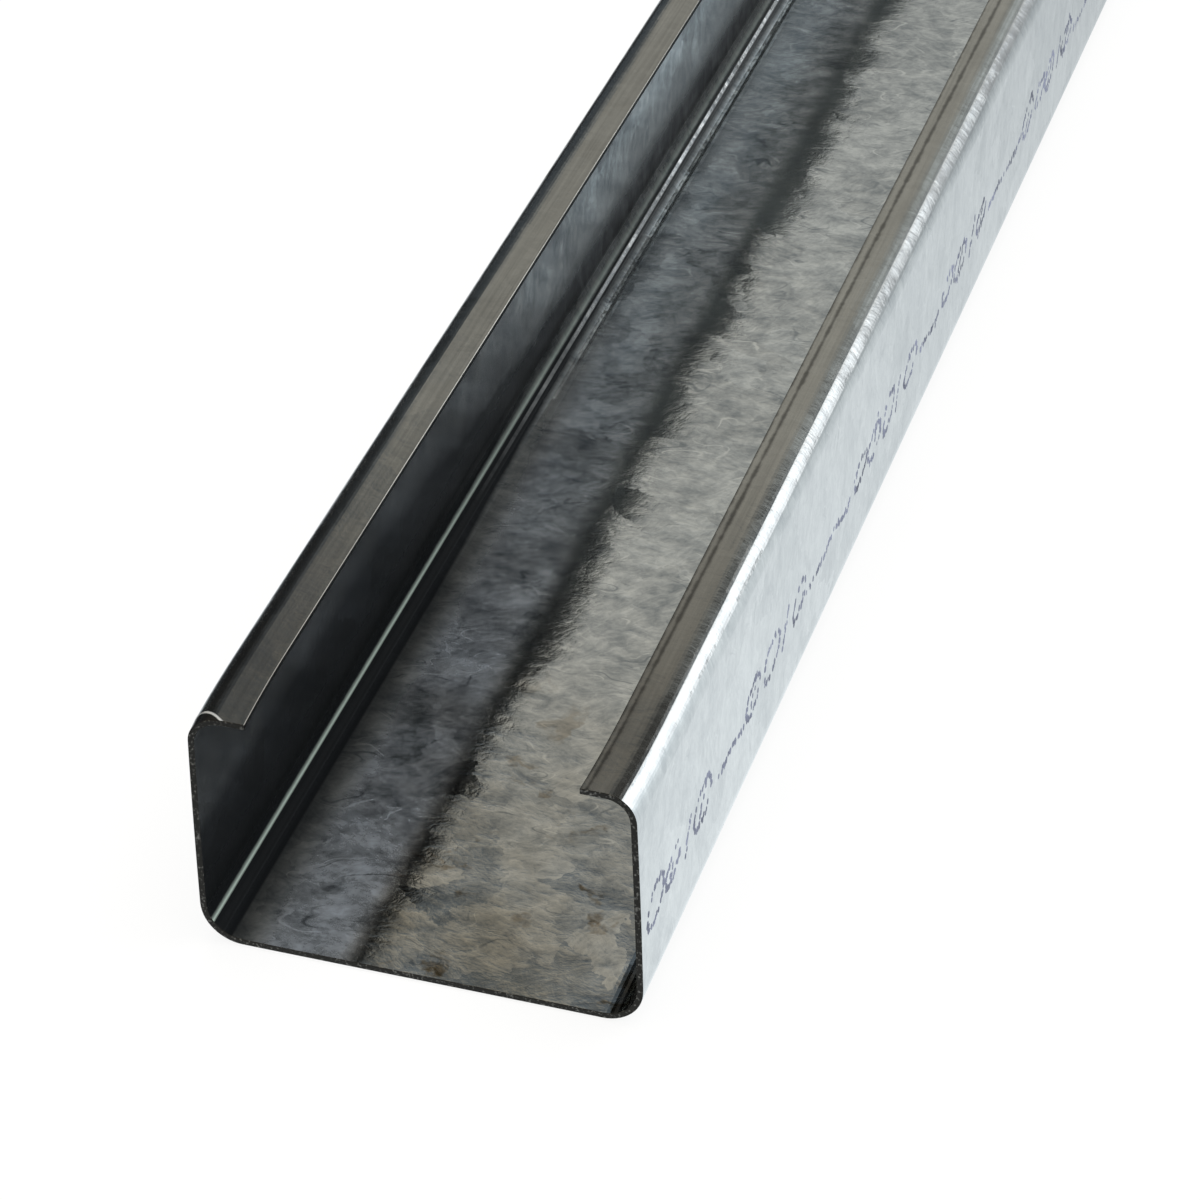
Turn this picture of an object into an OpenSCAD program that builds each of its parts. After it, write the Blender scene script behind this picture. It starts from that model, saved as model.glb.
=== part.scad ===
// Drywall metal stud: a lipped C channel, roll-formed from one strip of
// hot-dip galvanised steel and sheared to length.
//
// X runs across the web, Y along the length, Z up from the web's outer face.
// The origin is under the middle of the web, at mid-length.

/* [Stock] */
// Length that the stud is cut to
stud_length = 2440; // [300:10:3660]
// Thickness of the galvanised strip
sheet_t = 0.9; // [0.5:0.05:1.6]

/* [Section] */
// Width of the web, over both flanges
web_w = 64; // [40:1:150]
// Height of the flanges, from the web's outer face to the lips' outer face
flange_h = 38; // [28:1:60]
// Width of each turned-in lip, from its flange's outer face
lip_w = 8; // [7:0.5:14]

/* [Bends] */
// Inner radius of the bends between the web and the flanges
web_bend_r = 4.6; // [0.8:0.1:6]
// Inner radius of the bends between the flanges and the lips
lip_bend_r = 2.8; // [0.5:0.1:4]

/* [Hidden] */
zinc_grey = [0.66, 0.68, 0.70];
$fn = 96;

// Outer radii of the bends
web_bend_out = web_bend_r + sheet_t;
lip_bend_out = lip_bend_r + sheet_t;

// A flat stretch of the strip: low corner [x, z] and size [w, h]
module stretch(corner, size) {
    translate(corner)
        square(size);
}

// A quarter bend of the strip: centre of its radii, outer radius, and the
// quarter turn that it starts from
module bend(centre, outer, start_angle) {
    translate(centre)
        rotate(start_angle)
            intersection() {
                difference() {
                    circle(r = outer);
                    circle(r = outer - sheet_t);
                }
                square(outer);
            }
}

// One side of the section, on +X: web bend, flange, lip bend and lip
module flange_side() {
    outer_x = web_w / 2;
    flange_flat = flange_h - web_bend_out - lip_bend_out;
    lip_flat = lip_w - lip_bend_out;

    bend([outer_x - web_bend_out, web_bend_out], web_bend_out, -90);
    stretch([outer_x - sheet_t, web_bend_out], [sheet_t, flange_flat]);
    bend([outer_x - lip_bend_out, flange_h - lip_bend_out], lip_bend_out, 0);
    stretch([outer_x - lip_w, flange_h - sheet_t], [lip_flat, sheet_t]);
}

// The whole lipped C: flat web with the same side turned up at each edge
module section() {
    web_flat = web_w - 2 * web_bend_out;
    stretch([-web_flat / 2, 0], [web_flat, sheet_t]);
    flange_side();
    mirror([1, 0])
        flange_side();
}

// The section run along Y, centred on the origin
module stud() {
    color(zinc_grey)
        translate([0, stud_length / 2, 0])
            rotate([90, 0, 0])
                linear_extrude(height = stud_length)
                    section();
}

stud();
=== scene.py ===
"""Drywall metal stud: its galvanised finish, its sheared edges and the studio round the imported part."""
import math

import bpy
import numpy as np
from mathutils import Matrix, Vector


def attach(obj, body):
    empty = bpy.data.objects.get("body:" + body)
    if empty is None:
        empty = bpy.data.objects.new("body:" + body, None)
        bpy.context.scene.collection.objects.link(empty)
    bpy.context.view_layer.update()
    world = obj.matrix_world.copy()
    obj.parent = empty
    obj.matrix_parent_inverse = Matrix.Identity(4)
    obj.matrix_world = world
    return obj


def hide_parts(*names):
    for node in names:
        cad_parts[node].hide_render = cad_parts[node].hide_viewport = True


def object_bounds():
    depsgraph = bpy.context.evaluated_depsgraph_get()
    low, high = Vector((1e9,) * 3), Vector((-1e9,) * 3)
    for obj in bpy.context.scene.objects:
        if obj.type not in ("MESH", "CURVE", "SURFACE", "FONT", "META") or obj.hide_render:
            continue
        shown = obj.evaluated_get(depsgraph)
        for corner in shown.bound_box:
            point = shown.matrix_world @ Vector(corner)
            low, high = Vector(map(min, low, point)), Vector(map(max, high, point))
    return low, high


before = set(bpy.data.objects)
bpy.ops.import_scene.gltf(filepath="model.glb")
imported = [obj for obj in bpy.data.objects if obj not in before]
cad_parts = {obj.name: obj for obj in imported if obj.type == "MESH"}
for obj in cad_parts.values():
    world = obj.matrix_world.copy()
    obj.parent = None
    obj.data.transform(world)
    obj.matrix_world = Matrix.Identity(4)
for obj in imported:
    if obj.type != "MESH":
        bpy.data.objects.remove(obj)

cad_low, cad_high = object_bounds()

MM = 0.001

# ---------------------------------------------------------------- sizes of the stud, in metres
WEB_WIDTH = cad_high.x - cad_low.x
FLANGE_HEIGHT = cad_high.z - cad_low.z
NEAR_END = cad_low.y
FAR_END = cad_high.y
LIP_WIDTH = 8 * MM
SHEET = 0.9 * MM
WEB_BEND_OUT = 5.9 * MM         # the bends spring back a little fuller than they are drawn
LIP_BEND_OUT = 4.2 * MM

# What the roll former and the shear leave on this stud
EDGE_BREAK = 0.08 * MM          # small chamfer along every cut edge
STRIP_OFF_CENTRE = 0.35 * MM    # the strip ran this far to the left, so the left lip is the wider one
END_OUT_OF_SQUARE = math.radians(1.8)
END_LEANS_BACK = math.radians(0.4)
END_SKEW_FADES = 60 * MM
END_CLOSES_IN = 0.5 * MM        # the flanges spring in at the sheared end
END_SPRING_LENGTH = 18 * MM
SHEET_RIPPLE = 0.035 * MM
DENT_ACROSS = 5.6 * MM          # the corner dented in at the near end of the left lip's bend
DENT_ALONG = 4.6 * MM
DENT_DEPTH = 0.55 * MM
INNER_FACE_AT = 500 * MM        # where the inner face's unrolled coordinates start

# How far apart the rings of the mesh lie along the length
FINE_LENGTH = 330 * MM          # they lie close together from the near end up to here
FIRST_GAP = 0.5 * MM
GAP_GROWS = 1.09
NEAR_GAP = 4 * MM
FAR_GAP = 12 * MM
FAR_RINGS = 20 * MM             # the last stretch, with rings close together again

# The zinc's crystals, in millimetres, and how far each one's face leans
CRYSTAL = 9.0
FEATHER = 3.0
FEATHER_WIDTH = 0.6
CRYSTAL_LEAN = 0.034
LIP_RUBBED = 5.6                # how far from the free edge the rolls have rubbed the lips
HAZE_AT = -18.5                 # the dull streak along the inner web, partly painted light, from its middle
HAZE_WIDTH = 8.5
BEND_SHADE_FROM = 27.0               # painted shade in the left web bend, from the web's middle
BEND_SHADE_TO = 50.0
HIGHLIGHT_LINE_AT = 31.5               # a line in that bend painted as a pale matt highlight
SHADED_LINE_AT = 30.1               # the line in that bend painted black with shade at the near end

# Where each finish, painted shade and painted highlight changes, in millimetres from the near end: its
# start and its end
LIPS_DARKEN = (15.0, 90.0)
GUIDE_DRIFTS = (0.0, 330.0)
WEB_STAINED = (10.0, 100.0)
HIGHLIGHT_LINE_FADES = (80.0, 200.0)
FLANGE_SHADED = (100.0, 220.0)
SHADED_LINE_FADES = (90.0, 290.0)
STREAK_DRIFTS = (20.0, 160.0)
STREAK_BLUED = (60.0, 200.0)
STREAK_CHALKY = (20.0, 150.0)

# Ink marks down the outer right flange, in millimetres
INK_LOW = 13.6
INK_HIGH = 19.0
INK_DOT = 0.7                   # radius of one dried drop
INK_PITCH = 0.5
INK_PROUD = 0.03
INK_START = 3.0
INK_GAP = 1.4
INK_SCATTER = 0.24              # how far a drop lands from where it was aimed
INK_STOPS_SHORT = 60            # how far before the far end the marks stop
INK_SEED = 7


# ---------------------------------------------------------------- helpers
def linear(hex_colour):
    """sRGB hex, such as #c8ced2, to linear RGBA."""
    shares = [int(hex_colour[i:i + 2], 16) / 255 for i in (1, 3, 5)]
    straight = [s / 12.92 if s <= 0.04045 else ((s + 0.055) / 1.055) ** 2.4 for s in shares]
    return (*straight, 1.0)


def add(tree, kind, inputs=None, **settings):
    """Adds a node to a tree: settings are the node's own, inputs are values or the sockets that feed it."""
    made = tree.nodes.new("ShaderNode" + kind)
    for name, value in settings.items():
        setattr(made, name, value)
    for name, value in (inputs or {}).items():
        if isinstance(value, bpy.types.NodeSocket):
            tree.links.new(value, made.inputs[name])
        else:
            made.inputs[name].default_value = value
    return made


def smooth_step(value, start, end):
    """0 before start, 1 after end, with a soft change between."""
    share = np.clip((value - start) / (end - start), 0, 1)
    return share * share * (3 - 2 * share)


# ---------------------------------------------------------------- the stud's mesh
def strip_course():
    """Walks along the middle of the strip, from the left lip's free edge to the right one's.

    Gives (across, up, heading, developed, bend) for each point: developed is the distance along the strip
    from the web's middle, and bend is 1 in the bends."""
    web_bend = WEB_BEND_OUT - SHEET / 2
    lip_bend = LIP_BEND_OUT - SHEET / 2
    lip_flat = LIP_WIDTH - LIP_BEND_OUT
    flange_flat = FLANGE_HEIGHT - WEB_BEND_OUT - LIP_BEND_OUT
    web_flat = WEB_WIDTH - 2 * WEB_BEND_OUT
    quarter = math.pi / 2
    stretches = [
        (lip_flat + STRIP_OFF_CENTRE, 0, 10),
        (lip_bend * quarter, quarter, 14),
        (flange_flat, 0, 9),
        (web_bend * quarter, quarter, 14),
        (web_flat, 0, 14),
        (web_bend * quarter, quarter, 14),
        (flange_flat, 0, 9),
        (lip_bend * quarter, quarter, 14),
        (lip_flat - STRIP_OFF_CENTRE, 0, 8),
    ]
    x = -WEB_WIDTH / 2 + LIP_WIDTH + STRIP_OFF_CENTRE
    z = FLANGE_HEIGHT - SHEET / 2
    heading = math.pi
    walked = 0.0
    points = [(x, z, heading, walked, 0)]
    for length, turn, steps in stretches:
        for _ in range(steps):
            step, part = length / steps, turn / steps
            chord = step if turn == 0 else 2 * (step / part) * math.sin(part / 2)
            x += chord * math.cos(heading + part / 2)
            z += chord * math.sin(heading + part / 2)
            heading += part
            walked += step
            points.append((x, z, heading, walked, 1 if turn else 0))
    course = np.array(points)
    course[:, 3] -= walked / 2 + STRIP_OFF_CENTRE
    return course


def with_broken_edges(places):
    """Adds a place EDGE_BREAK inside each end, where the chamfer starts."""
    return np.concatenate([places[:1], [places[0] + EDGE_BREAK], places[1:-1],
                           [places[-1] - EDGE_BREAK], places[-1:]])


def places_along():
    """Where the rings of the mesh lie along the length: close together at the ends, wider in the middle."""
    steps = [0.0]
    gap = FIRST_GAP
    while steps[-1] < FINE_LENGTH:
        steps.append(steps[-1] + gap)
        gap = min(gap * GAP_GROWS, NEAR_GAP)
    near = np.array(steps)
    rest = (FAR_END - NEAR_END) - near[-1] - FAR_RINGS
    count = int(rest / FAR_GAP)
    middle = near[-1] + np.arange(1, count + 1) * rest / count
    last = middle[-1] + np.array([5, 10, 15, 18, 20]) * MM
    return NEAR_END + np.concatenate([near, middle, last])


def ripple(developed, along):
    """Height of the sheet's slight waves, out of its own plane."""
    u, v = developed / MM, along / MM
    return (np.sin(v / 31 + u / 19 + 0.7) + 0.7 * np.sin(v / 17 - u / 13 + 2.1)
            + 0.5 * np.sin(v / 9.5 + u / 23)) / 2.2


def dented(x, z, along):
    """How deep inside the dented corner a point lies: 1 at the corner, 0 at the crease, below 0 outside."""
    from_corner = x + WEB_WIDTH / 2 + 0.9 * (FLANGE_HEIGHT - z)
    return 1 - from_corner / DENT_ACROSS - (along - NEAR_END) / DENT_ALONG


def formed(x, z, heading, developed, bend, along, out):
    """Where points of the sheet lie once it is rolled, sheared and dented.

    out is their height off the sheet's middle."""
    near = along - NEAR_END
    spring = np.clip(1 - near / END_SPRING_LENGTH, 0, 1) ** 2 * (z / FLANGE_HEIGHT) ** 2
    skew = 1 - smooth_step(near, 0, END_SKEW_FADES)
    slant = x * math.tan(END_OUT_OF_SQUARE) + (z - FLANGE_HEIGHT / 2) * math.tan(END_LEANS_BACK)
    dent = np.clip(dented(x, z, along), 0, 1)
    # only the flats ripple; 0 * lift below gives the three coordinates one shape
    lift = SHEET_RIPPLE * ripple(developed, along) * (1 - bend) + out
    on_flange = np.abs(x) > WEB_WIDTH / 4
    return np.stack([x - np.sign(x) * END_CLOSES_IN * spring * on_flange + np.sin(heading) * lift,
                     along - skew * slant + 0 * lift,
                     z - DENT_DEPTH * dent - np.cos(heading) * lift], -1)


def build_stud():
    course = strip_course()
    developed = with_broken_edges(course[:, 3])
    keep = np.concatenate([[0, 0], np.arange(1, len(course) - 1), [len(course) - 1] * 2])
    course = course[keep].copy()
    # the two added points slide along the flat lip, to where the chamfer starts
    for i, sign in ((1, 1), (-2, -1)):
        course[i, 0] += sign * EDGE_BREAK * math.cos(course[i, 2])
    along = with_broken_edges(places_along())

    x, z, heading, _, bend = (course[:, i][:, None] for i in range(5))
    s = developed[:, None]
    y = along[None, :]
    half = np.full(np.broadcast_shapes(s.shape, y.shape), SHEET / 2)
    half[[0, -1], :] -= EDGE_BREAK
    half[:, [0, -1]] -= EDGE_BREAK
    half = np.maximum(half, SHEET / 2 - EDGE_BREAK)

    sides = [formed(x, z, heading, s, bend, y, half), formed(x, z, heading, s, bend, y, -half)]
    across, down = sides[0].shape[:2]
    vertices = np.concatenate([side.reshape(-1, 3) for side in sides])

    # where each point lies on the unrolled sheet: the outer face's grid, then the inner face's
    outer = np.arange(across * down).reshape(across, down)
    inner = outer + across * down
    flat_s = np.repeat(developed, down).reshape(across, down)
    flat_y = np.tile(along, across).reshape(across, down)
    quads, unrolled, shelves = [], [], []

    def patch(corners, s_at, y_at, on_inner):
        """Adds the faces between four grids of points, with their unrolled places."""
        quads.append(np.stack(corners, -1).reshape(-1, 4))
        unrolled.append(np.stack([np.stack(s_at, -1), np.stack(y_at, -1)], -1).reshape(-1, 4, 2))
        shelves.append(np.full(len(quads[-1]), on_inner))

    def four(grid, order):
        picks = {"a": grid[:-1, :-1], "b": grid[1:, :-1], "c": grid[1:, 1:], "d": grid[:-1, 1:]}
        return [picks[letter] for letter in order]

    patch(four(outer, "abcd"), four(flat_s, "abcd"), four(flat_y, "abcd"), 0)
    patch(four(inner, "adcb"), four(flat_s, "adcb"), four(flat_y, "adcb"), 1)
    for row, turned in ((0, False), (-1, True)):        # the two slit edges
        corners = [outer[row, :-1], outer[row, 1:], inner[row, 1:], inner[row, :-1]]
        beside = -SHEET if row == 0 else SHEET
        s_at = [flat_s[row, :-1], flat_s[row, 1:], flat_s[row, 1:] + beside, flat_s[row, :-1] + beside]
        y_at = [flat_y[row, :-1], flat_y[row, 1:], flat_y[row, 1:], flat_y[row, :-1]]
        order = (3, 2, 1, 0) if turned else (0, 1, 2, 3)
        patch([corners[i] for i in order], [s_at[i] for i in order], [y_at[i] for i in order], 0)
    for column, turned in ((0, True), (-1, False)):     # the two sheared ends
        corners = [outer[:-1, column], outer[1:, column], inner[1:, column], inner[:-1, column]]
        beyond = -SHEET if column == 0 else SHEET
        s_at = [flat_s[:-1, column], flat_s[1:, column], flat_s[1:, column], flat_s[:-1, column]]
        y_at = [flat_y[:-1, column], flat_y[1:, column], flat_y[1:, column] + beyond,
                flat_y[:-1, column] + beyond]
        order = (3, 2, 1, 0) if turned else (0, 1, 2, 3)
        patch([corners[i] for i in order], [s_at[i] for i in order], [y_at[i] for i in order], 0)
    counts = [len(q) for q in quads]
    faces = np.concatenate(quads)
    places = np.concatenate(unrolled)
    shelf = np.concatenate(shelves)

    mesh = bpy.data.meshes.new("stud")
    mesh.from_pydata(vertices.tolist(), [], faces.tolist())

    # cut faces and chamfers stay flat, so that the sheet's own faces shade smoothly up to their edges;
    # the rolls have smoothed the slit edges' chamfers, so only the sheared ends' ones are bare steel
    sheared = np.zeros((across - 1, down - 1), bool)
    sheared[:, [0, -1]] = True
    broken = sheared.copy()
    broken[[0, -1], :] = True
    cuts = np.ones(sum(counts[2:]), bool)
    sharp = np.concatenate([broken.ravel(), broken.ravel(), cuts])
    bare = np.concatenate([sheared.ravel(), sheared.ravel(), cuts])
    mesh.attributes.new("sharp_face", "BOOLEAN", "FACE").data.foreach_set("value", sharp)
    mesh.polygons.foreach_set("material_index", bare.astype(np.int32))

    # the finish follows the unrolled sheet, in metres: across the strip and along the stud
    finish_map = mesh.uv_layers.new(name="unrolled")
    finish_places = places.copy()
    finish_places[:, :, 0] += (shelf * INNER_FACE_AT)[:, None]
    finish_map.uv.foreach_set("vector", finish_places.astype(np.float32).ravel())

    # the bake's map: the unrolled sheet in lengths laid side by side, so that no space is lost
    shares = 3
    length = (FAR_END - NEAR_END) / shares
    margin = 2 * MM
    width = developed[-1] - developed[0] + 2 * SHEET + margin
    side = max(2 * shares * width, length + 2 * (SHEET + margin)) + 2 * margin
    middle = np.clip(places[:, :, 1].mean(1), NEAR_END + 0.01 * MM, FAR_END - 0.01 * MM)
    share = np.floor((middle - NEAR_END) / length)
    packed = np.empty_like(places)
    column_at = (share * 2 + shelf) * width - developed[0] + SHEET + margin
    packed[:, :, 0] = (places[:, :, 0] + column_at[:, None]) / side
    packed[:, :, 1] = (places[:, :, 1] - NEAR_END - (share * length)[:, None] + SHEET + 2 * margin) / side
    bake_map = mesh.uv_layers.new(name="OFBake")
    bake_map.uv.foreach_set("vector", packed.astype(np.float32).ravel())
    mesh.uv_layers.active = finish_map
    finish_map.active_render = True

    in_bend = np.tile(np.repeat(course[:, 4], down), 2)
    mesh.attributes.new("bend", "FLOAT", "POINT").data.foreach_set("value", in_bend.astype(np.float32))
    in_dent = np.tile(dented(x, z, y).ravel(), 2)
    mesh.attributes.new("dent", "FLOAT", "POINT").data.foreach_set("value", in_dent.astype(np.float32))
    mesh.validate()
    mesh.update()
    stud = bpy.data.objects.new("galvanised_stud", mesh)
    bpy.context.scene.collection.objects.link(stud)
    return stud


def ink_strokes():
    """Centres of the ink drops of the dashes, ticks and loops, which mean nothing.

    They are in millimetres from the near end and up the flange."""
    height = INK_HIGH - INK_LOW
    middle = (INK_HIGH + INK_LOW) / 2
    at = INK_START
    drops = []
    kinds = ["loop", "loop", "tick", "loop", "dash", "loop", "loop", "tick", "loop", "dash", "loop"]
    lengths = [7, 6, 3, 8, 14, 7, 8, 4, 6, 26, 7]
    turn = 0
    while at < (FAR_END - NEAR_END) / MM - INK_STOPS_SHORT:
        kind, length = kinds[turn % len(kinds)], lengths[turn % len(lengths)]
        if kind == "loop":
            round_it = np.linspace(0, 2 * math.pi, int(2 * (length + height) * 0.8 / INK_PITCH))
            along = at + length / 2 * (1 + np.cos(round_it)) + 0.3 * height * np.sin(round_it)
            up = middle + height / 2 * np.sin(round_it) * (1.0, 0.7, 0.85)[turn % 3]
        elif kind == "tick":
            up = np.arange(INK_LOW, INK_HIGH, INK_PITCH)
            along = at + (up - INK_LOW) / height * length
        else:
            along = np.arange(at, at + length, INK_PITCH)
            up = middle - 0.25 * height + 0.4 * np.sin(along / 3)
        drops.append(np.stack([along, up], -1))
        if kind == "loop" and turn % 2:
            across = np.linspace(0, 1, int(height / INK_PITCH))
            drops.append(np.stack([at + length * (0.2 + 0.6 * across), middle + height * (across - 0.5)],
                                  -1))
        at += length + INK_GAP * (1 + turn % 2)
        turn += 1
    return np.concatenate(drops)


def build_ink_marks():
    """Dried drops of marking ink on the outer right flange, each a low dome set into the zinc."""
    chance = np.random.default_rng(INK_SEED)
    drops = ink_strokes()
    patchy = 0.9 + 0.7 * np.sin(drops[:, 0] / 7.3) * np.sin(drops[:, 0] / 2.9 + drops[:, 1])
    drops = drops[chance.random(len(drops)) < patchy]
    drops = drops + chance.normal(0, INK_SCATTER, drops.shape)
    sides = 6
    size = INK_DOT * chance.uniform(0.65, 1.1, len(drops))
    turns = np.arange(sides) * 2 * math.pi / sides
    rim_along = drops[:, :1] + 0.8 * size[:, None] * np.cos(turns)
    rim_up = drops[:, 1:] + size[:, None] * np.sin(turns)
    along = np.concatenate([rim_along, drops[:, :1]], 1) * MM + NEAR_END
    up = np.concatenate([rim_up, drops[:, 1:]], 1) * MM
    out = np.full(along.shape, SHEET / 2 - INK_PROUD / 6 * MM)
    out[:, -1] = SHEET / 2 + INK_PROUD * MM
    course = strip_course()
    flange = course[(course[:, 2] > 2.49 * math.pi) & (course[:, 2] < 2.51 * math.pi)]
    developed = np.interp(up, flange[:, 1], flange[:, 3])
    points = formed(np.full(along.shape, WEB_WIDTH / 2 - SHEET / 2), up,
                    np.full(along.shape, 2.5 * math.pi),
                    developed, np.zeros(along.shape), along, out)
    first = np.arange(len(drops)) * (sides + 1)
    faces = []
    for start in first.tolist():
        rim = [start + i for i in range(sides)]
        faces += [(rim[i], rim[(i + 1) % sides], start + sides) for i in range(sides)]
        faces.append(tuple(reversed(rim)))
    mesh = bpy.data.meshes.new("ink_marks")
    mesh.from_pydata(points.reshape(-1, 3).tolist(), [], faces)
    mesh.update()
    marks = bpy.data.objects.new("ink_marks", mesh)
    bpy.context.scene.collection.objects.link(marks)
    return marks


# ---------------------------------------------------------------- finishes
def galvanised_steel():
    """Hot-dip galvanised steel: zinc crystals give the eye soft feathered patches of differing sheen."""
    material = bpy.data.materials.new("hot_dip_galvanised_steel")
    material.use_nodes = True
    tree = material.node_tree
    tree.nodes.clear()
    sheet = add(tree, "UVMap", uv_map="unrolled").outputs["UV"]
    in_mm = add(tree, "VectorMath", {0: sheet, "Scale": 1 / MM}, operation="SCALE").outputs[0]
    place = add(tree, "SeparateXYZ", {0: in_mm})
    half_way = INNER_FACE_AT / MM / 2
    signed = add(tree, "Math", {0: place.outputs["X"], 1: half_way, 2: -half_way},
                 operation="WRAP").outputs[0]
    from_middle = add(tree, "Math", {0: signed}, operation="ABSOLUTE").outputs[0]
    from_end = add(tree, "Math", {0: place.outputs["Y"], 1: NEAR_END / MM}, operation="SUBTRACT").outputs[0]
    strip_edge = strip_course()[-1, 3] / MM

    # crystals: patches with ragged wandering borders, each with its own lean and its own tone
    wander = add(tree, "TexNoise", {"Vector": in_mm, "Scale": 1 / 10, "Detail": 1.0}).outputs["Color"]
    ragged = add(tree, "TexNoise", {"Vector": in_mm, "Scale": 1 / 2.2, "Detail": 2.0,
                                    "Roughness": 0.6}).outputs["Color"]
    pulls = add(tree, "VectorMath", {0: ragged, 1: (0.36, 0.36, 0.0), 2: wander},
                operation="MULTIPLY_ADD").outputs[0]
    centred = add(tree, "VectorMath", {0: pulls, 1: (0.68, 0.68, 0.5)}, operation="SUBTRACT").outputs[0]
    moved = add(tree, "VectorMath", {0: centred, 1: (12.0, 12.0, 0.0), 2: in_mm},
                operation="MULTIPLY_ADD").outputs[0]
    crystal = add(tree, "TexVoronoi", {"Vector": moved, "Scale": 1 / CRYSTAL}, voronoi_dimensions="2D")
    draw = add(tree, "SeparateColor", {0: crystal.outputs["Color"]})

    # feathers: the crystals' arms, laid out from each one's middle, more across the sheet than along it
    angle = add(tree, "MapRange", {"Value": draw.outputs[0], "To Min": -1.15, "To Max": 0.65}).outputs[0]
    bowed = add(tree, "VectorMath", {0: centred, 1: (4.0, 4.0, 0.0), 2: in_mm},
                operation="MULTIPLY_ADD").outputs[0]
    inside = add(tree, "VectorMath", {0: bowed, 1: crystal.outputs["Position"]},
                 operation="SUBTRACT").outputs[0]
    turned = add(tree, "VectorRotate", {"Vector": inside, "Angle": angle},
                 rotation_type="Z_AXIS").outputs[0]
    drawn_out = add(tree, "VectorMath", {0: turned, 1: (1 / FEATHER, 1 / FEATHER_WIDTH, 1.0)},
                    operation="MULTIPLY").outputs[0]
    apart = add(tree, "VectorMath", {0: crystal.outputs["Color"], 1: (37.0, 53.0, 71.0), 2: drawn_out},
                operation="MULTIPLY_ADD").outputs[0]
    feather = add(tree, "TexNoise", {"Vector": apart, "Scale": 1.0, "Detail": 2.0,
                                     "Roughness": 0.6}).outputs["Fac"]
    swept = add(tree, "VectorMath", {0: in_mm, 1: (1 / 6, 1 / 4, 1.0)}, operation="MULTIPLY").outputs[0]
    mottle = add(tree, "TexNoise", {"Vector": swept, "Scale": 1.0, "Detail": 5.0, "Roughness": 0.62,
                                    "Distortion": 0.5}).outputs["Fac"]

    # where the sheet is bent hard the zinc crackles into small uneven blotches
    in_bend = add(tree, "Attribute", attribute_name="bend").outputs["Fac"]
    across_bend = add(tree, "VectorMath", {0: in_mm, 1: (1 / 1.3, 1 / 2.6, 1.0)},
                      operation="MULTIPLY").outputs[0]
    crackle = add(tree, "TexNoise", {"Vector": across_bend, "Scale": 1.0, "Detail": 3.0,
                                     "Roughness": 0.6}).outputs["Fac"]
    on_inside = add(tree, "Math", {0: place.outputs["X"], 1: half_way}, operation="GREATER_THAN").outputs[0]
    crackled = add(tree, "MapRange", {"Value": on_inside, "To Min": 1.0, "To Max": 0.2}).outputs[0]
    crackled = add(tree, "Math", {0: crackled, 1: in_bend}, operation="MULTIPLY").outputs[0]
    crackle = add(tree, "Math", {0: crackle, 1: crackled}, operation="MULTIPLY").outputs[0]

    # fine grain over everything, and sparse hair-thin scratches that curl across the sheet
    grain = add(tree, "TexNoise", {"Vector": in_mm, "Scale": 1 / 1.6, "Detail": 3.0, "Roughness": 0.6,
                                   "Distortion": 0.8}).outputs["Fac"]
    curling = add(tree, "VectorMath", {0: in_mm, 1: (1 / 13, 1 / 6, 1.0)}, operation="MULTIPLY").outputs[0]
    curls = add(tree, "TexNoise", {"Vector": curling, "Scale": 1.0, "Detail": 1.0,
                                   "Distortion": 0.7}).outputs["Fac"]
    sparse = add(tree, "TexNoise", {"Vector": in_mm, "Scale": 1 / 7, "Detail": 1.0}).outputs["Fac"]
    sparse = add(tree, "MapRange", {"Value": sparse, "From Min": 0.5, "From Max": 0.62}).outputs[0]
    hairs = []
    for level, width in ((0.5, 0.012), (0.42, 0.014)):
        off_hair = add(tree, "Math", {0: curls, 1: level}, operation="SUBTRACT").outputs[0]
        off_hair = add(tree, "Math", {0: off_hair}, operation="ABSOLUTE").outputs[0]
        hair = add(tree, "MapRange", {"Value": off_hair, "From Max": width, "To Min": 1.0,
                                      "To Max": 0.0}).outputs[0]
        hairs.append(add(tree, "Math", {0: hair, 1: sparse}, operation="MULTIPLY").outputs[0])

    # each crystal's face leans a little; feathers, grain, mottling and crackle stand up as fine relief
    lean = add(tree, "VectorMath", {0: crystal.outputs["Color"], 1: (0.5, 0.5, 0.5)},
               operation="SUBTRACT").outputs[0]
    small = add(tree, "VectorMath", {0: lean, "Scale": CRYSTAL_LEAN}, operation="SCALE").outputs[0]
    facing = add(tree, "NewGeometry").outputs["Normal"]
    leaning = add(tree, "VectorMath", {0: facing, 1: small}, operation="ADD").outputs[0]
    bump = leaning
    for height, distance in ((feather, 0.008 * MM), (grain, 0.014 * MM), (mottle, 0.06 * MM),
                             (crackle, 0.02 * MM)):
        bump = add(tree, "Bump", {"Height": height, "Strength": 1.0, "Distance": distance,
                                  "Normal": bump}).outputs[0]

    # how light the zinc is at each place; the outer faces ran on the rolls and are more even
    tone = add(tree, "Math", {0: draw.outputs[1], 1: 0.3, 2: -1.45}, operation="MULTIPLY_ADD").outputs[0]
    for pattern, share in ((feather, 0.7), (grain, 0.9), (hairs[0], 0.6), (hairs[1], -0.6), (mottle, 2.0)):
        tone = add(tree, "Math", {0: pattern, 1: share, 2: tone}, operation="MULTIPLY_ADD").outputs[0]
    tone = add(tree, "Clamp", {"Value": tone}).outputs[0]
    rolled = add(tree, "Math", {0: tone, 1: 0.4, 2: 0.36}, operation="MULTIPLY_ADD").outputs[0]
    tone = add(tree, "Mix", {0: on_inside, 2: rolled, 3: tone}, data_type="FLOAT").outputs[0]
    zinc = add(tree, "Mix", {0: tone, 6: linear("#90969a"), 7: linear("#d9dcdb")},
               data_type="RGBA").outputs[2]

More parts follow.
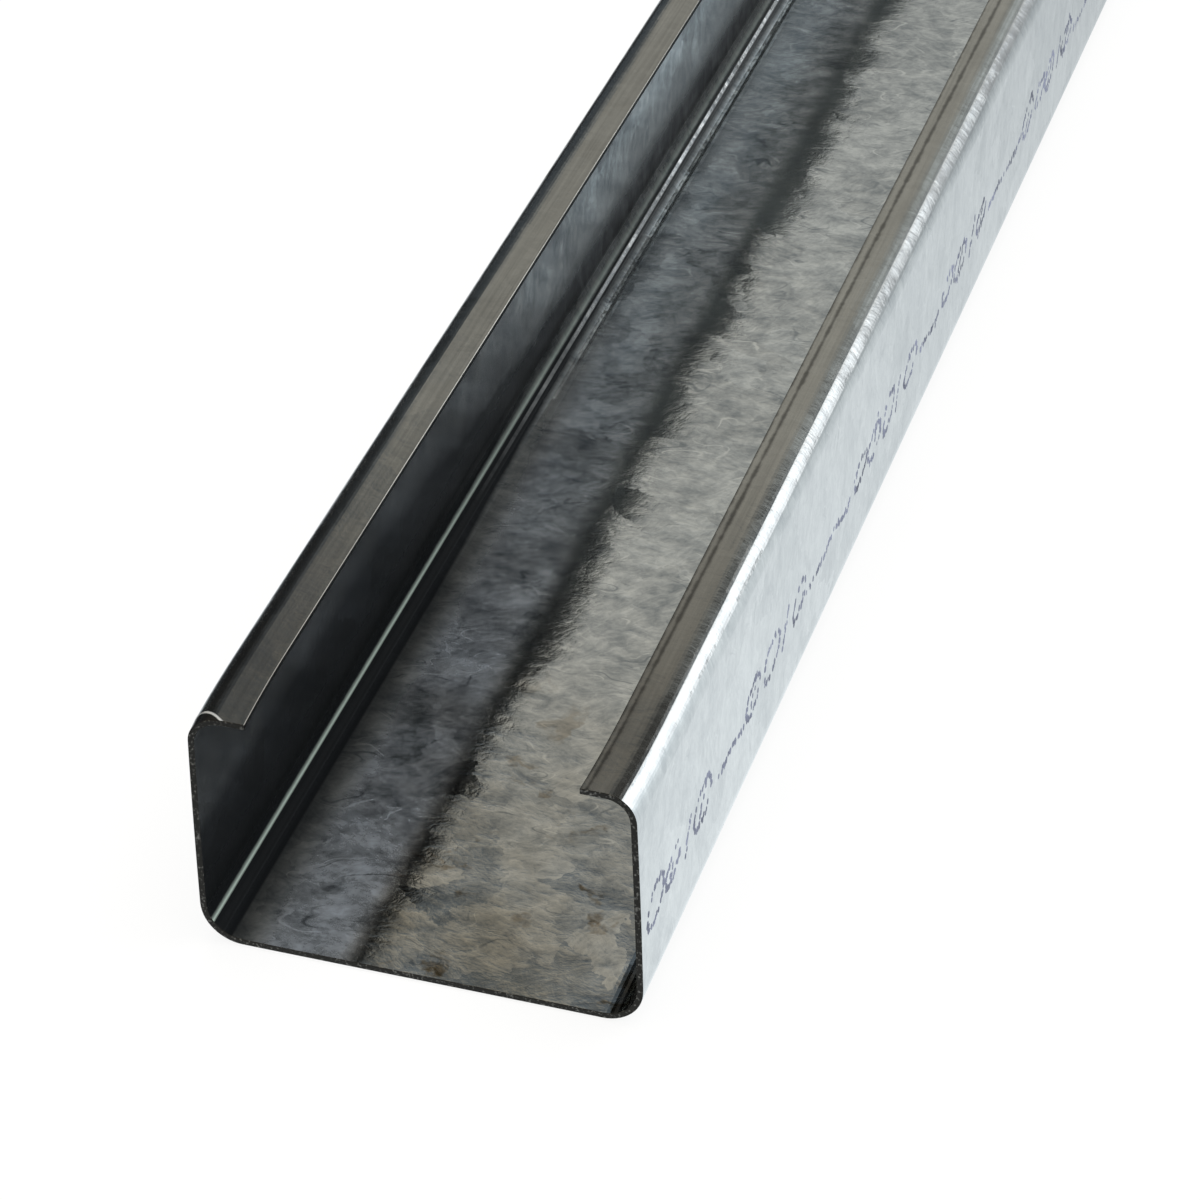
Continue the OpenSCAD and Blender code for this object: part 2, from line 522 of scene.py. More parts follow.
    # the lips are rubbed by the rolls: greyer and duller, with fine lines along them
    lip = add(tree, "MapRange", {"Value": from_middle, "From Min": strip_edge - LIP_RUBBED - 0.5,
                                 "From Max": strip_edge - LIP_RUBBED + 0.5},
              interpolation_type="SMOOTHSTEP").outputs[0]
    along_lines = add(tree, "VectorMath", {0: in_mm, 1: (1 / 0.6, 1 / 40, 1.0)},
                      operation="MULTIPLY").outputs[0]
    lines = add(tree, "TexNoise", {"Vector": along_lines, "Scale": 1.0, "Detail": 2.0,
                                   "Roughness": 0.6}).outputs["Fac"]
    on_right = add(tree, "Math", {0: signed, 1: 0.0}, operation="GREATER_THAN").outputs[0]
    rubs = add(tree, "Math", {0: tone, 1: 0.6, 2: lines}, operation="MULTIPLY_ADD").outputs[0]
    rubs = add(tree, "Math", {0: on_right, 1: 0.3, 2: rubs}, operation="MULTIPLY_ADD").outputs[0]
    rub_share = add(tree, "MapRange", {"Value": rubs, "From Min": 0.3, "From Max": 1.5}).outputs[0]
    rubbed = add(tree, "Mix", {0: rub_share, 6: linear("#7f7e79"), 7: linear("#b5b3ac")},
                 data_type="RGBA").outputs[2]

    # the right lip ran against a guide that left a dark ragged line by its free edge; the dark line along
    # the free edge itself is painted shade
    to_edge = add(tree, "Math", {0: strip_edge, 1: from_middle}, operation="SUBTRACT").outputs[0]
    guide_at = add(tree, "MapRange", {"Value": from_end, "From Min": GUIDE_DRIFTS[0],
                                      "From Max": GUIDE_DRIFTS[1], "To Min": 0.9,
                                      "To Max": 2.4}).outputs[0]
    off_guide = add(tree, "Math", {0: to_edge, 1: guide_at}, operation="SUBTRACT").outputs[0]
    off_guide = add(tree, "Math", {0: off_guide}, operation="ABSOLUTE").outputs[0]
    off_edge = add(tree, "Math", {0: to_edge, 1: off_guide}, operation="MINIMUM").outputs[0]
    frayed = add(tree, "Math", {0: ragged, 1: 0.9, 2: off_edge}, operation="MULTIPLY_ADD").outputs[0]
    guide_and_edge_shade = add(tree, "MapRange", {"Value": frayed, "From Min": 0.45, "From Max": 0.95, "To Min": 0.8,
                                   "To Max": 0.0},
                interpolation_type="SMOOTHSTEP").outputs[0]
    guide_and_edge_shade = add(tree, "Math", {0: guide_and_edge_shade, 1: on_right}, operation="MULTIPLY").outputs[0]
    rubbed = add(tree, "Mix", {0: guide_and_edge_shade, 6: rubbed, 7: linear("#4c4b47")}, data_type="RGBA").outputs[2]
    # the lips are darker towards their near ends
    near_end_darkening = add(tree, "MapRange", {"Value": from_end, "From Min": LIPS_DARKEN[0],
                                      "From Max": LIPS_DARKEN[1],
                                      "To Min": 0.42, "To Max": 0.0}).outputs[0]
    near_end_darkening = add(tree, "Math", {0: near_end_darkening, 1: mottle, 2: near_end_darkening}, operation="MULTIPLY_ADD").outputs[0]
    rubbed = add(tree, "Mix", {0: near_end_darkening, 6: rubbed, 7: linear("#a09a94")}, data_type="RGBA",
                 blend_type="MULTIPLY").outputs[2]
    colour = add(tree, "Mix", {0: lip, 6: zinc, 7: rubbed}, data_type="RGBA").outputs[2]

    # inside: brownish handling stains and spots, thickest towards the near end
    handled = add(tree, "MapRange", {"Value": from_end, "From Min": WEB_STAINED[0],
                                     "From Max": WEB_STAINED[1], "To Min": 1.0, "To Max": 0.0},
                  interpolation_type="SMOOTHSTEP").outputs[0]
    held = add(tree, "MapRange", {"Value": signed, "From Min": -18.0, "From Max": -6.0},
               interpolation_type="SMOOTHSTEP").outputs[0]
    held = add(tree, "Math", {0: held, 1: on_inside}, operation="MULTIPLY").outputs[0]
    handled = add(tree, "Math", {0: handled, 1: held}, operation="MULTIPLY").outputs[0]
    cloud = add(tree, "TexNoise", {"Vector": in_mm, "Scale": 1 / 24, "Detail": 4.0,
                                   "Roughness": 0.55}).outputs["Fac"]
    patchy = add(tree, "MapRange", {"Value": cloud, "From Min": 0.36, "From Max": 0.62, "To Min": 0.3,
                                    "To Max": 0.9}).outputs[0]
    stained = add(tree, "Math", {0: handled, 1: patchy}, operation="MULTIPLY").outputs[0]
    colour = add(tree, "Mix", {0: stained, 6: colour, 7: linear("#d0c4b2")}, data_type="RGBA",
                 blend_type="MULTIPLY").outputs[2]
    spots = add(tree, "TexNoise", {"Vector": moved, "Scale": 1 / 9, "Detail": 3.0,
                                   "Roughness": 0.6}).outputs["Fac"]
    spots = add(tree, "MapRange", {"Value": spots, "From Min": 0.6, "From Max": 0.7}).outputs[0]
    spots = add(tree, "Math", {0: handled, 1: spots}, operation="MULTIPLY").outputs[0]
    colour = add(tree, "Mix", {0: spots, 6: colour, 7: linear("#a8906c")}, data_type="RGBA",
                 blend_type="MULTIPLY").outputs[2]

    # painted shade inside the left web bend, and a fine dark line of painted shade where the web runs into
    # it
    up_left = add(tree, "Math", {0: signed, 1: -1.0}, operation="MULTIPLY").outputs[0]
    bend_painted_shade = add(tree, "ValToRGB", {"Fac": add(tree, "MapRange",
                                              {"Value": up_left, "From Min": BEND_SHADE_FROM,
                                               "From Max": BEND_SHADE_TO}).outputs[0]})
    bend_shade_stops = [(27.6, 0.0), (28.6, 0.5), (29.1, 0.8), (29.6, 0.9), (29.8, 0.0), (30.4, 0.0), (30.6, 0.9),
              (30.9, 0.9),
              (31.2, 0.3), (32.6, 0.5), (34.4, 1.0), (37.5, 1.0), (42.0, 0.4), (50.0, 0.0)]
    for stop, (across, depth) in enumerate(bend_shade_stops):
        where = (across - BEND_SHADE_FROM) / (BEND_SHADE_TO - BEND_SHADE_FROM)
        mark = bend_painted_shade.color_ramp.elements[stop] if stop < 2 else bend_painted_shade.color_ramp.elements.new(where)
        mark.position = where
        mark.color = (depth, depth, depth, 1)
    bend_painted_shade = add(tree, "Math", {0: bend_painted_shade.outputs["Color"], 1: on_inside}, operation="MULTIPLY").outputs[0]
    uneven = add(tree, "MapRange", {"Value": mottle, "From Min": 0.3, "From Max": 0.6, "To Min": 0.8,
                                    "To Max": 1.0}).outputs[0]
    bend_painted_shade = add(tree, "Math", {0: bend_painted_shade, 1: uneven}, operation="MULTIPLY").outputs[0]
    colour = add(tree, "Mix", {0: bend_painted_shade, 6: colour, 7: linear("#44484a")}, data_type="RGBA",
                 blend_type="MULTIPLY").outputs[2]

    # painted shade over the near part of the left flange, but not on a line in its bend painted as a pale
    # matt highlight
    off_cleaned = add(tree, "Math", {0: up_left, 1: HIGHLIGHT_LINE_AT}, operation="SUBTRACT").outputs[0]
    above = add(tree, "MapRange", {"Value": off_cleaned, "From Min": 0.0, "From Max": 1.0, "To Min": 1.0,
                                   "To Max": 0.0}).outputs[0]
    below = add(tree, "MapRange", {"Value": off_cleaned, "From Min": -0.45, "From Max": 0.0}).outputs[0]
    bend_painted_highlight = add(tree, "Math", {0: above, 1: below}, operation="MULTIPLY").outputs[0]
    highlight_fades = add(tree, "MapRange", {"Value": from_end, "From Min": HIGHLIGHT_LINE_FADES[0],
                                           "From Max": HIGHLIGHT_LINE_FADES[1],
                                           "To Min": 1.0, "To Max": 0.3}).outputs[0]
    bend_painted_highlight = add(tree, "Math", {0: bend_painted_highlight, 1: highlight_fades}, operation="MULTIPLY").outputs[0]
    flange_painted_shade = add(tree, "MapRange", {"Value": up_left, "From Min": 21.0, "From Max": 28.0},
               interpolation_type="SMOOTHSTEP").outputs[0]
    flange_shade_end = add(tree, "Math", {0: cloud, 1: 60.0, 2: from_end}, operation="MULTIPLY_ADD").outputs[0]
    flange_shade_end = add(tree, "MapRange", {"Value": flange_shade_end, "From Min": FLANGE_SHADED[0],
                                      "From Max": FLANGE_SHADED[1], "To Min": 0.95, "To Max": 0.0},
                   interpolation_type="SMOOTHSTEP").outputs[0]
    inside_off_highlight = add(tree, "Math", {0: on_inside, 1: bend_painted_highlight}, operation="SUBTRACT",
                    use_clamp=True).outputs[0]
    flange_painted_shade = add(tree, "Math", {0: flange_painted_shade, 1: flange_shade_end}, operation="MULTIPLY").outputs[0]
    flange_painted_shade = add(tree, "Math", {0: flange_painted_shade, 1: inside_off_highlight}, operation="MULTIPLY").outputs[0]
    colour = add(tree, "Mix", {0: flange_painted_shade, 6: colour, 7: linear("#8c8d8c")}, data_type="RGBA",
                 blend_type="MULTIPLY").outputs[2]
    # the painted highlight: a pale greenish matt line down the left web bend, brightest at the near end
    bend_painted_highlight = add(tree, "Math", {0: bend_painted_highlight, 1: on_inside}, operation="MULTIPLY").outputs[0]
    colour = add(tree, "Mix", {0: bend_painted_highlight, 6: colour, 7: linear("#cfe3d9")}, data_type="RGBA").outputs[2]

    # the line beside it is painted black with shade at the near end, and the painted shade thins out along
    # the stud
    off_shaded_line = add(tree, "Math", {0: up_left, 1: SHADED_LINE_AT}, operation="SUBTRACT").outputs[0]
    off_shaded_line = add(tree, "Math", {0: off_shaded_line}, operation="ABSOLUTE").outputs[0]
    line_painted_shade = add(tree, "MapRange", {"Value": off_shaded_line, "From Min": 0.6, "From Max": 0.95, "To Min": 1.0,
                                  "To Max": 0.0}).outputs[0]
    shaded_line_end = add(tree, "Math", {0: mottle, 1: 60.0, 2: from_end}, operation="MULTIPLY_ADD").outputs[0]
    shaded_line_end = add(tree, "MapRange", {"Value": shaded_line_end, "From Min": SHADED_LINE_FADES[0],
                                      "From Max": SHADED_LINE_FADES[1], "To Min": 1.0,
                                      "To Max": 0.0}).outputs[0]
    line_painted_shade = add(tree, "Math", {0: line_painted_shade, 1: shaded_line_end}, operation="MULTIPLY").outputs[0]
    line_painted_shade = add(tree, "Math", {0: line_painted_shade, 1: on_inside}, operation="MULTIPLY").outputs[0]
    colour = add(tree, "Mix", {0: line_painted_shade, 6: colour, 7: linear("#4c4f50")}, data_type="RGBA",
                 blend_type="MULTIPLY").outputs[2]

    # a dull chalky streak along the web, patchy, and bluer towards the near end: a haze, and its pale blue
    # film is partly painted light
    streak_at = add(tree, "MapRange", {"Value": from_end, "From Min": STREAK_DRIFTS[0],
                                       "From Max": STREAK_DRIFTS[1], "To Min": HAZE_AT + 1.5,
                                       "To Max": HAZE_AT}).outputs[0]
    off_streak = add(tree, "Math", {0: signed, 1: streak_at}, operation="SUBTRACT").outputs[0]
    off_streak = add(tree, "Math", {0: off_streak}, operation="ABSOLUTE").outputs[0]
    haze = add(tree, "MapRange", {"Value": off_streak, "From Min": HAZE_WIDTH / 2, "From Max": HAZE_WIDTH,
                                  "To Min": 1.0, "To Max": 0.0},
               interpolation_type="SMOOTHSTEP").outputs[0]
    thick = add(tree, "MapRange", {"Value": cloud, "From Min": 0.34, "From Max": 0.6, "To Min": 0.45,
                                   "To Max": 1.0}).outputs[0]
    haze = add(tree, "Math", {0: haze, 1: thick}, operation="MULTIPLY").outputs[0]
    streaky = add(tree, "MapRange", {"Value": tone, "To Min": 0.45, "To Max": 1.4}).outputs[0]
    haze = add(tree, "Math", {0: haze, 1: streaky}, operation="MULTIPLY").outputs[0]
    haze = add(tree, "Math", {0: haze, 1: on_inside}, operation="MULTIPLY").outputs[0]

    blued = add(tree, "MapRange", {"Value": from_end, "From Min": STREAK_BLUED[0],
                                   "From Max": STREAK_BLUED[1], "To Min": 0.4, "To Max": 0.08}).outputs[0]
    film_and_painted_light = add(tree, "Math", {0: haze, 1: blued}, operation="MULTIPLY").outputs[0]
    colour = add(tree, "Mix", {0: film_and_painted_light, 6: colour, 7: linear("#8f9fb8")}, data_type="RGBA").outputs[2]

    # the dented corner: painted shade over the dented patch, inside a painted highlight along its crease
    dent = add(tree, "Attribute", attribute_name="dent").outputs["Fac"]
    outside = add(tree, "Math", {0: 1.0, 1: on_inside}, operation="SUBTRACT").outputs[0]
    dent_painted_shade = add(tree, "MapRange", {"Value": dent, "From Min": 0.0, "From Max": 0.08}).outputs[0]
    dent_painted_shade = add(tree, "Math", {0: dent_painted_shade, 1: outside}, operation="MULTIPLY").outputs[0]
    colour = add(tree, "Mix", {0: dent_painted_shade, 6: colour, 7: linear("#7c7874")}, data_type="RGBA",
                 blend_type="MULTIPLY").outputs[2]
    off_crease = add(tree, "Math", {0: dent}, operation="ABSOLUTE").outputs[0]
    crease_painted_highlight = add(tree, "MapRange", {"Value": off_crease, "From Min": 0.03, "From Max": 0.07, "To Min": 1.0,
                                    "To Max": 0.0}).outputs[0]
    crease_painted_highlight = add(tree, "Math", {0: crease_painted_highlight, 1: outside}, operation="MULTIPLY").outputs[0]
    colour = add(tree, "Mix", {0: crease_painted_highlight, 6: colour, 7: linear("#fafafa")}, data_type="RGBA").outputs[2]

    # rubbed and chalky places, the painted shade and the painted crease are duller than clean zinc
    dull = add(tree, "MapRange", {"Value": tone, "To Min": 0.14, "To Max": 0.1}).outputs[0]
    for share, more in ((lip, 0.1), (haze, 0.12), (bend_painted_shade, 0.2), (line_painted_shade, 0.35), (crease_painted_highlight, 0.3)):
        dull = add(tree, "Math", {0: share, 1: more, 2: dull}, operation="MULTIPLY_ADD").outputs[0]
    chalky = add(tree, "MapRange", {"Value": from_end, "From Min": STREAK_CHALKY[0],
                                    "From Max": STREAK_CHALKY[1],
                                    "To Min": -0.3, "To Max": -0.13}).outputs[0]
    metallic = add(tree, "Math", {0: haze, 1: chalky, 2: 1.0}, operation="MULTIPLY_ADD").outputs[0]
    metallic = add(tree, "Math", {0: bend_painted_highlight, 1: -0.8, 2: metallic}, operation="MULTIPLY_ADD").outputs[0]
    # the painted shade lies on the zinc as a dark matt coat, so little of the metal's sheen comes through
    # it
    shade_coat = add(tree, "Math", {0: flange_painted_shade, 1: 0.88, 2: bend_painted_shade}, operation="MULTIPLY_ADD").outputs[0]
    shade_coat = add(tree, "Math", {0: line_painted_shade, 1: 0.5, 2: shade_coat}, operation="MULTIPLY_ADD",
               use_clamp=True).outputs[0]
    metallic = add(tree, "Math", {0: shade_coat, 1: -0.85, 2: metallic}, operation="MULTIPLY_ADD",
                   use_clamp=True).outputs[0]
    sheen = add(tree, "Math", {0: shade_coat, 1: -0.45, 2: 0.5}, operation="MULTIPLY_ADD").outputs[0]
    colour = add(tree, "Mix", {0: shade_coat, 6: colour, 7: linear("#16181a")}, data_type="RGBA").outputs[2]
    shader = add(tree, "BsdfPrincipled", {"Base Color": colour, "Metallic": metallic, "Roughness": dull,
                                          "Normal": bump,
                                         "Specular IOR Level": sheen})
    add(tree, "OutputMaterial", {"Surface": shader.outputs[0]})
    return material


def sheared_edge():
    """Bare steel where the strip was slit and sheared: darker and rougher, with fine torn specks."""
    material = bpy.data.materials.new("sheared_steel_edge")
    material.use_nodes = True
    tree = material.node_tree
    tree.nodes.clear()
    place = add(tree, "TexCoord").outputs["Object"]
    torn = add(tree, "TexNoise", {"Vector": place, "Scale": 1 / (0.4 * MM), "Detail": 2.0}).outputs["Fac"]
    speck = add(tree, "MapRange", {"Value": torn, "From Min": 0.55, "From Max": 0.8}).outputs[0]
    colour = add(tree, "Mix", {0: speck, 6: linear("#2b2a28"), 7: linear("#7d7b76")},
                 data_type="RGBA").outputs[2]
    bump = add(tree, "Bump", {"Height": torn, "Strength": 0.5, "Distance": 0.05 * MM}).outputs[0]
    shader = add(tree, "BsdfPrincipled", {"Base Color": colour, "Metallic": 1.0, "Roughness": 0.42,
                                          "Normal": bump})
    add(tree, "OutputMaterial", {"Surface": shader.outputs[0]})
    return material


def marking_ink():
    """Blue-grey marking ink, dried thin and matt: it gives the eye faint broken strokes on the zinc."""
    material = bpy.data.materials.new("dried_marking_ink")
    material.use_nodes = True
    tree = material.node_tree
    tree.nodes.clear()
    place = add(tree, "TexCoord").outputs["Object"]
    worn = add(tree, "TexNoise", {"Vector": place, "Scale": 1 / (6 * MM), "Detail": 3.0}).outputs["Fac"]
    share = add(tree, "MapRange", {"Value": worn, "From Min": 0.35, "From Max": 0.65}).outputs[0]
    colour = add(tree, "Mix", {0: share, 6: linear("#3c4156"), 7: linear("#777d95")},
                 data_type="RGBA").outputs[2]
    grain = add(tree, "TexNoise", {"Vector": place, "Scale": 1 / (0.15 * MM), "Detail": 1.0}).outputs["Fac"]
    bump = add(tree, "Bump", {"Height": grain, "Strength": 0.4, "Distance": 0.01 * MM}).outputs[0]
    shader = add(tree, "BsdfPrincipled", {"Base Color": colour, "Roughness": 0.55, "Normal": bump})
    add(tree, "OutputMaterial", {"Surface": shader.outputs[0]})
    return material


stud = build_stud()
stud.data.materials.append(galvanised_steel())
stud.data.materials.append(sheared_edge())
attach(stud, "root")
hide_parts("stud")
ink_marks = build_ink_marks()
ink_marks.data.materials.append(marking_ink())
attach(ink_marks, "root")


# ---------------------------------------------------------------- studio
def build_floor():
    """A white sweep of floor: it shows white to the eye and in the metal, and keeps a soft shadow."""
    mesh = bpy.data.meshes.new("floor")
    side = 12.0
    mesh.from_pydata([(-side, -side, 0), (side, -side, 0), (side, side, 0), (-side, side, 0)], [],
                     [(0, 1, 2, 3)])
    floor = bpy.data.objects.new("floor", mesh)
    bpy.context.scene.collection.objects.link(floor)
    material = bpy.data.materials.new("white_studio_floor")
    material.use_nodes = True
    tree = material.node_tree
    tree.nodes.clear()
    path = add(tree, "LightPath")
    seen = path.outputs["Is Camera Ray"]
    for ray in ("Is Glossy Ray", "Is Transmission Ray"):
        seen = add(tree, "Math", {0: seen, 1: path.outputs[ray]}, operation="MAXIMUM").outputs[0]
    share = add(tree, "MapRange", {"Value": path.outputs["Is Glossy Ray"], "To Min": 0.86,
                                   "To Max": 1.0}).outputs[0]
    share = add(tree, "Math", {0: seen, 1: share}, operation="MULTIPLY").outputs[0]
    matt = add(tree, "BsdfDiffuse", {"Color": linear("#f4f4f4")}).outputs[0]
    # the floor mirrored in the metal is brightest by the near end on the right, and falls off from there
    place = add(tree, "SeparateXYZ", {0: add(tree, "NewGeometry").outputs["Position"]})
    lit = add(tree, "MapRange", {"Value": place.outputs["Y"], "From Min": NEAR_END + 0.05,
                                 "From Max": NEAR_END + 0.34,
                                 "To Min": 1.07, "To Max": 0.74}).outputs[0]
    left = add(tree, "MapRange", {"Value": place.outputs["X"], "From Min": -0.04, "From Max": -0.12,
                                  "To Min": 1.0,
                                  "To Max": 0.04}, interpolation_type="SMOOTHSTEP").outputs[0]
    lit = add(tree, "Math", {0: lit, 1: left}, operation="MULTIPLY").outputs[0]
    beside = add(tree, "MapRange", {"Value": place.outputs["X"], "From Min": 0.05, "From Max": 0.4,
                                    "To Max": 1.2}).outputs[0]
    slanting = add(tree, "Math", {0: place.outputs["X"], 1: -1.1, 2: place.outputs["Y"]},
                   operation="MULTIPLY_ADD").outputs[0]
    near_by = add(tree, "MapRange", {"Value": slanting, "From Min": NEAR_END, "From Max": NEAR_END + 0.2,
                                     "To Min": 1.0,
                                     "To Max": -0.25}).outputs[0]
    glow = add(tree, "Math", {0: beside, 1: near_by, 2: 1.0}, operation="MULTIPLY_ADD").outputs[0]
    lit = add(tree, "Math", {0: lit, 1: glow}, operation="MULTIPLY").outputs[0]
    mirrored = add(tree, "Emission", {"Color": linear("#f6fcff"), "Strength": lit}).outputs[0]
    white = add(tree, "Emission", {"Color": (1, 1, 1, 1), "Strength": 1.0}).outputs[0]
    pale = add(tree, "MixShader", {0: path.outputs["Is Glossy Ray"], 1: white, 2: mirrored}).outputs[0]
    both = add(tree, "MixShader", {0: share, 1: matt, 2: pale}).outputs[0]
    add(tree, "OutputMaterial", {"Surface": both})
    mesh.materials.append(material)


def build_world():
    """The room round the stud: a pale window beyond its far end, a softbox low on the right, dim corners.

    What lies beyond the far end is set for the bands of light and dark that the metal shows from its near
    end. Everywhere else the room is even."""
    world = bpy.data.worlds.new("studio_room")
    bpy.context.scene.world = world
    world.use_nodes = True
    tree = world.node_tree
    tree.nodes.clear()
    towards = add(tree, "SeparateXYZ", {0: add(tree, "TexCoord").outputs["Generated"]})
    x, y, z = (towards.outputs[axis] for axis in "XYZ")
    # how far round the stud's length a direction lies: 0 to the right, 90 overhead, 180 to the left
    round_it = add(tree, "Math", {0: z, 1: x}, operation="ARCTAN2").outputs[0]
    round_it = add(tree, "Math", {0: round_it}, operation="DEGREES").outputs[0]
    turn = add(tree, "MapRange", {"Value": round_it, "From Min": 0.0, "From Max": 180.0}).outputs[0]

    # the window ends where a direction turns this far away from the stud's own
    rim = add(tree, "ValToRGB", {"Fac": turn})
    shape = [(33, 0.84), (61, 0.818), (78, 0.803), (92, 0.775), (106, 0.725), (114, 0.725), (120, 0.775),
             (130, 0.82), (150, 0.9)]
    for stop, (degrees, height) in enumerate(shape):
        mark = rim.color_ramp.elements[stop] if stop < 2 else rim.color_ramp.elements.new(degrees / 180)
        mark.position = degrees / 180
        mark.color = (height, height, height, 1)
    inside = add(tree, "Math", {0: y, 1: rim.outputs["Color"]}, operation="SUBTRACT").outputs[0]
    window = add(tree, "MapRange", {"Value": inside, "From Min": -0.022, "From Max": 0.02},
                 interpolation_type="SMOOTHSTEP").outputs[0]
    room = add(tree, "MapRange", {"Value": round_it, "From Min": 75.0, "From Max": 110.0, "To Min": 0.01,
                                  "To Max": 0.22},
               interpolation_type="SMOOTHSTEP").outputs[0]
    left_low = add(tree, "MapRange", {"Value": y, "From Min": 0.79, "From Max": 0.83, "To Min": 0.08,
                                      "To Max": 0.7}).outputs[0]
    far_left = add(tree, "MapRange", {"Value": round_it, "From Min": 124.0, "From Max": 140.0,
                                      "To Min": 1.0, "To Max": left_low},
                   interpolation_type="SMOOTHSTEP").outputs[0]
    room = add(tree, "Math", {0: room, 1: far_left}, operation="MULTIPLY").outputs[0]
    room_fades = add(tree, "MapRange", {"Value": y, "From Min": 0.72, "From Max": 0.8, "To Min": 1.25,
                                        "To Max": 1.0}).outputs[0]
    room = add(tree, "Math", {0: room, 1: room_fades}, operation="MULTIPLY").outputs[0]
    pane_low = add(tree, "MapRange", {"Value": y, "From Min": 0.80, "From Max": 0.86, "To Min": 0.6,
                                      "To Max": 1.1}).outputs[0]
    pane = add(tree, "MapRange", {"Value": round_it, "From Min": 65.0, "From Max": 95.0, "To Min": pane_low,
                                  "To Max": 0.57},
               interpolation_type="SMOOTHSTEP").outputs[0]
    dimmer = add(tree, "MapRange", {"Value": round_it, "From Min": 35.0, "From Max": 58.0, "To Min": 0.45,
                                    "To Max": 1.0},
                 interpolation_type="SMOOTHSTEP").outputs[0]
    pane = add(tree, "Math", {0: pane, 1: dimmer}, operation="MULTIPLY").outputs[0]
    beyond_end = add(tree, "Mix", {0: window, 2: room, 3: pane}, data_type="FLOAT").outputs[0]

    # the softbox low on the right, brightest towards the near end, and its dimmer upper edge
    box = add(tree, "MapRange", {"Value": round_it, "From Min": 43.0, "From Max": 54.0, "To Min": 1.0,
                                 "To Max": 0.0},
              interpolation_type="SMOOTHSTEP").outputs[0]
    brim = add(tree, "MapRange", {"Value": round_it, "From Min": 54.0, "From Max": 62.0, "To Min": 1.0,
                                  "To Max": 0.0},
               interpolation_type="SMOOTHSTEP").outputs[0]
    box_level = add(tree, "MapRange", {"Value": y, "From Min": 0.865, "From Max": 0.815, "To Min": 0.7,
                                       "To Max": 2.4}).outputs[0]
    box_near = add(tree, "MapRange", {"Value": y, "From Min": 0.8, "From Max": 0.74, "To Min": 0.0,
                                      "To Max": 0.2}).outputs[0]
    box_level = add(tree, "Math", {0: box_level, 1: box_near}, operation="ADD").outputs[0]
    box_falls = add(tree, "MapRange", {"Value": round_it, "From Min": 0.0, "From Max": 34.0,
                                       "To Min": 0.68}).outputs[0]
    box_level = add(tree, "Math", {0: box_level, 1: box_falls}, operation="MULTIPLY").outputs[0]
    brim_level = add(tree, "MapRange", {"Value": y, "From Min": 0.86, "From Max": 0.78, "To Min": 0.55,
                                        "To Max": 0.1}).outputs[0]
    beyond_end = add(tree, "Mix", {0: brim, 2: beyond_end, 3: brim_level}, data_type="FLOAT").outputs[0]
    beyond_end = add(tree, "Mix", {0: box, 2: beyond_end, 3: box_level}, data_type="FLOAT").outputs[0]

    # everywhere else the room is even, and paler overhead
    even = add(tree, "MapRange", {"Value": z, "To Min": 0.6, "To Max": 1.0}).outputs[0]
    even = add(tree, "Math", {0: box, 1: 0.35, 2: even}, operation="MULTIPLY_ADD").outputs[0]
    ahead = add(tree, "MapRange", {"Value": y, "From Min": 0.5, "From Max": 0.68},
                interpolation_type="SMOOTHSTEP").outputs[0]
    level = add(tree, "Mix", {0: ahead, 2: even, 3: beyond_end}, data_type="FLOAT").outputs[0]

    cool = add(tree, "MapRange", {"Value": y, "From Min": 0.76, "From Max": 0.87},
               interpolation_type="SMOOTHSTEP").outputs[0]
    warmer = add(tree, "MapRange", {"Value": round_it, "From Min": 80.0, "From Max": 105.0, "To Min": 1.0,
                                    "To Max": 0.3}).outputs[0]
    cool = add(tree, "Math", {0: cool, 1: warmer}, operation="MULTIPLY").outputs[0]
    air = add(tree, "Mix", {0: cool, 6: linear("#fffbf0"), 7: linear("#ecf8ff")},
              data_type="RGBA").outputs[2]
    shade = add(tree, "Math", {0: 1.0, 1: window}, operation="SUBTRACT").outputs[0]
    shade = add(tree, "Math", {0: shade, 1: ahead}, operation="MULTIPLY").outputs[0]
    tint = add(tree, "Mix", {0: shade, 6: air, 7: linear("#d8ecff")}, data_type="RGBA").outputs[2]
    tint = add(tree, "Mix", {0: box, 6: tint, 7: linear("#fbfdff")}, data_type="RGBA").outputs[2]
    room_light = add(tree, "Background", {"Color": tint, "Strength": level}).outputs[0]
    # behind the stud the eye meets plain white, where the floor ends
    plain = add(tree, "Background", {"Color": (1, 1, 1, 1), "Strength": 1.0}).outputs[0]
    seen = add(tree, "LightPath").outputs["Is Camera Ray"]
    shown = add(tree, "MixShader", {0: seen, 1: room_light, 2: plain}).outputs[0]
    add(tree, "OutputWorld", {"Surface": shown})


def build_lamp(name, place, aim, size, power):
    """A soft lamp for the floor and its shadow: the metal mirrors the room, so no lamp shows in it."""
    data = bpy.data.lights.new(name, "AREA")
    data.shape = "RECTANGLE"
    data.size, data.size_y = size
    data.energy = power
    lamp = bpy.data.objects.new(name, data)
    bpy.context.scene.collection.objects.link(lamp)
    lamp.location = place
    lamp.rotation_euler = (Vector(aim) - Vector(place)).to_track_quat("-Z", "Y").to_euler()
    lamp.visible_glossy = False


build_floor()
build_world()
build_lamp("overhead_softbox", (0.3, 0, 2.4), (0, 0, 0), (2.2, 3.4), 61)

# ---------------------------------------------------------------- camera
AZIMUTH = math.radians(17.77)
ELEVATION = math.radians(34.17)
ROLL = math.radians(-1.33)
AIM = Vector((-3.4 * MM, NEAR_END + 94.7 * MM, 0))
DISTANCE = 0.6694
LENS_MM = 131.18

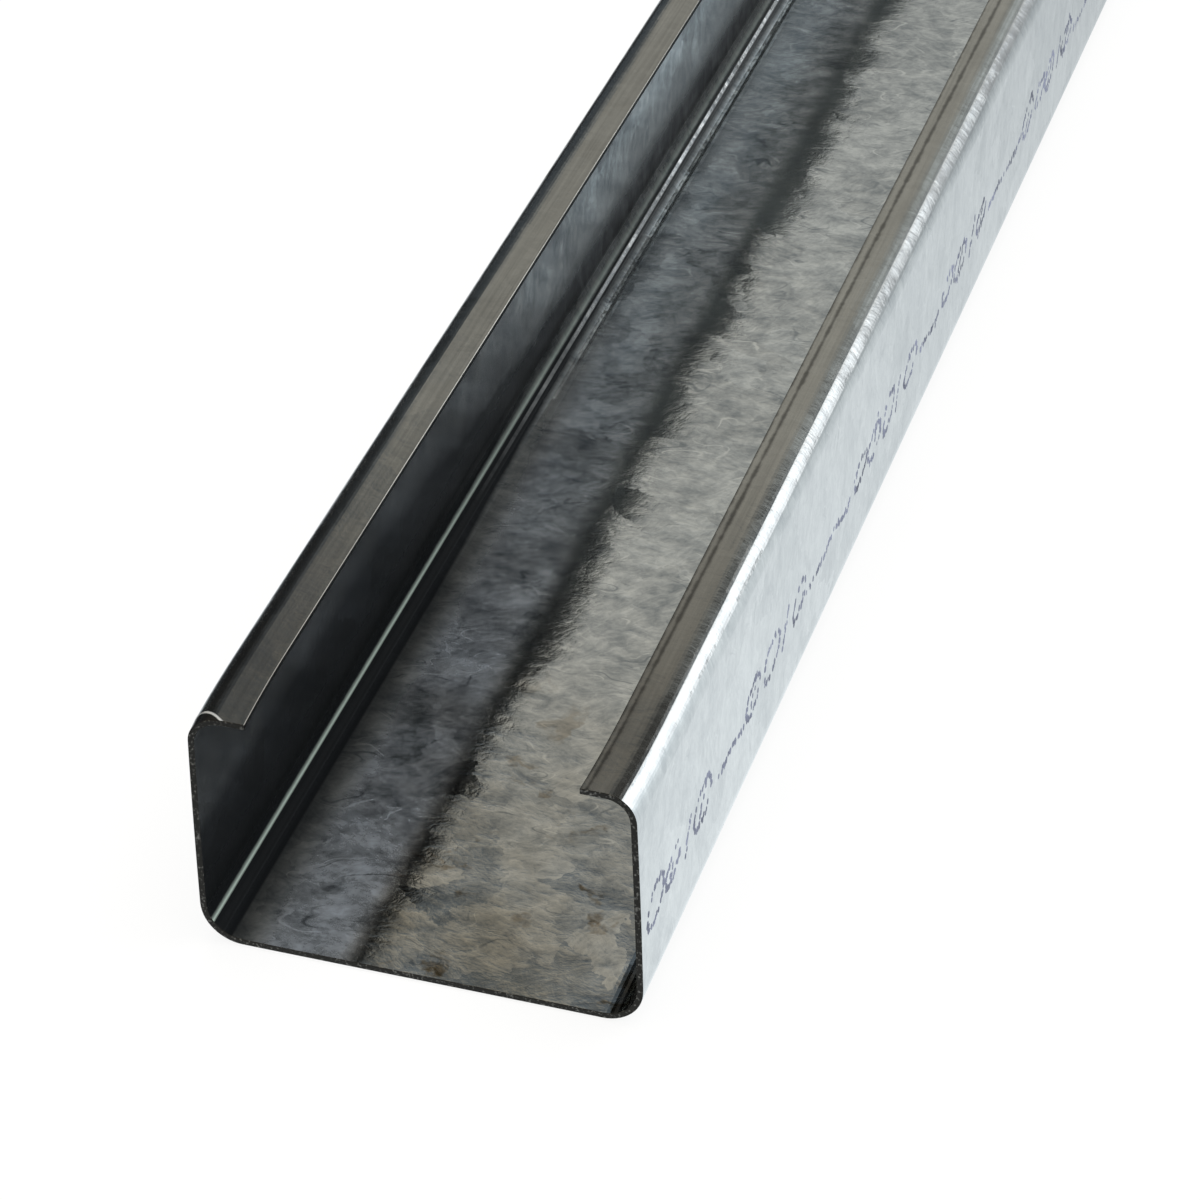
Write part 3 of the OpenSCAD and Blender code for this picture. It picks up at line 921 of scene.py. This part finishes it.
back = Vector((math.sin(AZIMUTH) * math.cos(ELEVATION), -math.cos(AZIMUTH) * math.cos(ELEVATION),
               math.sin(ELEVATION)))
level_right = Vector((math.cos(AZIMUTH), math.sin(AZIMUTH), 0))
level_up = back.cross(level_right)
right = level_right * math.cos(ROLL) + level_up * math.sin(ROLL)
up = level_up * math.cos(ROLL) - level_right * math.sin(ROLL)
camera_data = bpy.data.cameras.new("camera")
camera_data.lens = LENS_MM
camera_data.clip_start = 0.01
camera = bpy.data.objects.new("camera", camera_data)
bpy.context.scene.collection.objects.link(camera)
turn = Matrix((right, up, back)).transposed().to_4x4()
camera.matrix_world = Matrix.Translation(AIM + back * DISTANCE) @ turn
bpy.context.scene.camera = camera
bpy.context.scene.view_settings.view_transform = "Standard"

bpy.context.view_layer.update()
